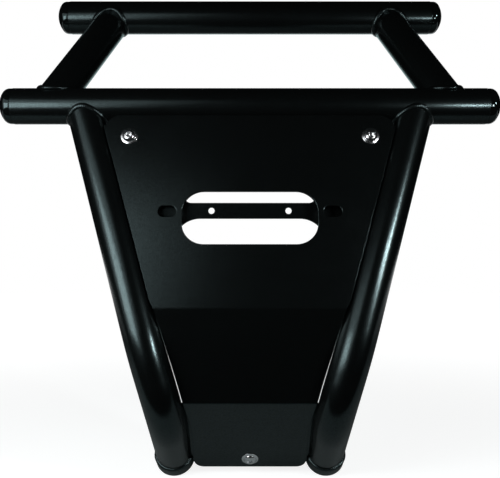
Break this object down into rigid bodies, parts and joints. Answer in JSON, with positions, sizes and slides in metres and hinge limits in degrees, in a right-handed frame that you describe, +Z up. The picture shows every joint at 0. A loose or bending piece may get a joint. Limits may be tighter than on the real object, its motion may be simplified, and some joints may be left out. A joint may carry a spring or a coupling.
{
  "type": "atv front bumper",
  "caption": "Tubular front bumper: crossbars joined by struts, bent downtubes with tapped feet, and a bolted bent plate with a slot.",
  "frame": {"origin": "midway between the two frame bolt holes, on the strap's rear face", "axes": "+X to the right of someone who looks at the bumper's front, +Y back to the vehicle, +Z up"},
  "size_m": [0.5308, 0.2011, 0.5342],
  "materials": {
    "powder_coated_steel": "satin black powder coat on mild steel",
    "cap_plastic": "glossy black moulded plastic",
    "zinc_screws": "bright zinc plated steel",
    "zinc_nuts": "zinc plated steel"
  },
  "bodies": {
    "root": {"front_crossbar": "powder_coated_steel", "rear_crossbar": "powder_coated_steel", "left_strut": "powder_coated_steel", "right_strut": "powder_coated_steel", "left_downtube": "powder_coated_steel", "right_downtube": "powder_coated_steel", "left_foot": "powder_coated_steel", "right_foot": "powder_coated_steel", "bash_plate": "powder_coated_steel", "frame_strap": "powder_coated_steel", "lower_cross_plate": "powder_coated_steel", "left_tab": "powder_coated_steel", "right_tab": "powder_coated_steel", "front_left_cap": "cap_plastic", "front_right_cap": "cap_plastic", "rear_left_cap": "cap_plastic", "rear_right_cap": "cap_plastic", "left_bolt": "zinc_screws", "right_bolt": "zinc_screws", "lower_bolt": "zinc_screws", "left_nut": "zinc_nuts", "right_nut": "zinc_nuts", "lower_nut": "zinc_nuts"}
  },
  "joints": []
}
